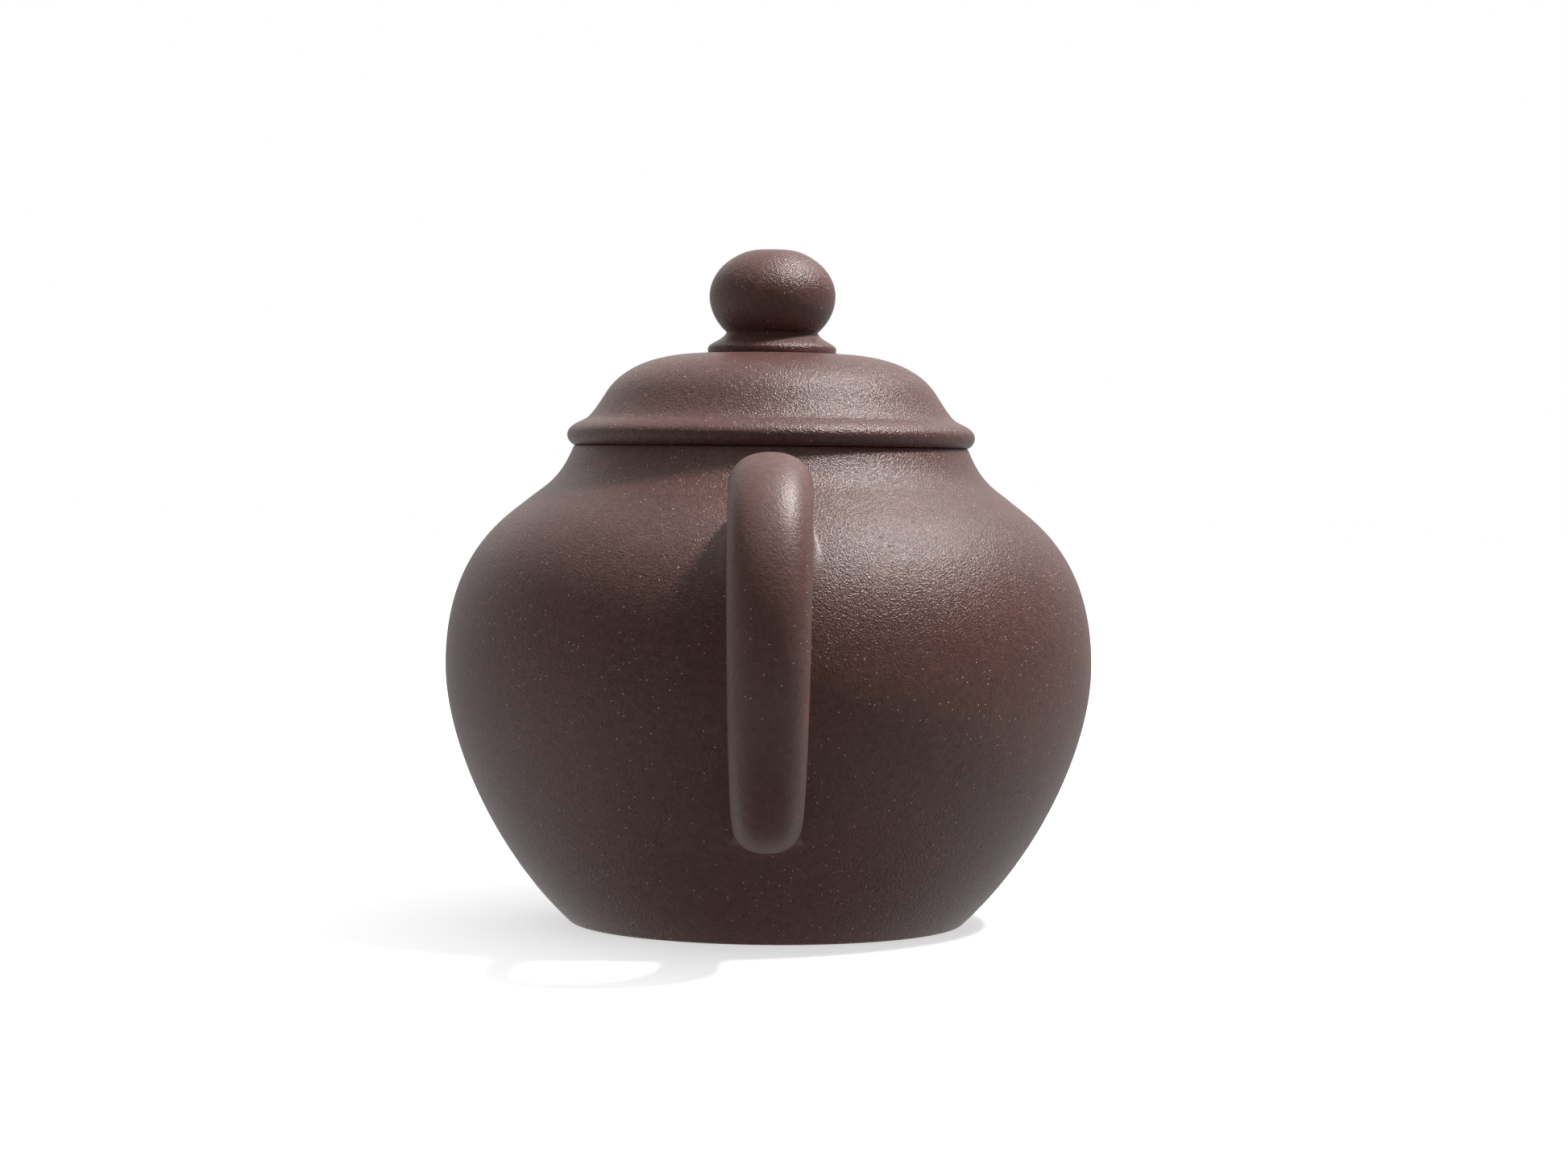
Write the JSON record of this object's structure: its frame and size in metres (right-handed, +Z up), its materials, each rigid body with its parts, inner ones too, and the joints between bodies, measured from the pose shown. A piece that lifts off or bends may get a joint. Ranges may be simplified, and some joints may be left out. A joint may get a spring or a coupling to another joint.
{
  "type": "clay teapot",
  "caption": "Small round unglazed clay teapot with a ring handle, a curved spout with an inner strainer, and a domed lid with a ball knob.",
  "frame": {"origin": "the pot's axis where it meets the surface it stands on", "axes": "+Z up along the pot's axis, +Y from the pot towards the spout, -Y towards the handle, +X to the right when looking from the handle towards the spout"},
  "size_m": [0.08, 0.126, 0.0833],
  "materials": {
    "clay": "unglazed fired purple-brown clay, satin, with fine pale and rust-red grains",
    "handle_clay": "the same clay rubbed smoother by the hand, a soft sheen"
  },
  "bodies": {
    "pot": {"body_wall": "clay", "shoulder_plate": "clay", "mouth_ring": "clay", "base_plate": "clay", "foot_ring": "clay", "spout": "clay", "ball_strainer": "clay", "handle": "handle_clay"},
    "lid": {"lid_plate": "clay", "lid_rim_bead": "clay", "lid_collar": "clay", "knob_seat": "clay", "knob": "clay"}
  },
  "joints": [
    {"name": "lid_lift", "type": "slide", "parent": "pot", "child": "lid", "axis": [0, 0, 1], "range_m": [0, 0.045]}
  ]
}
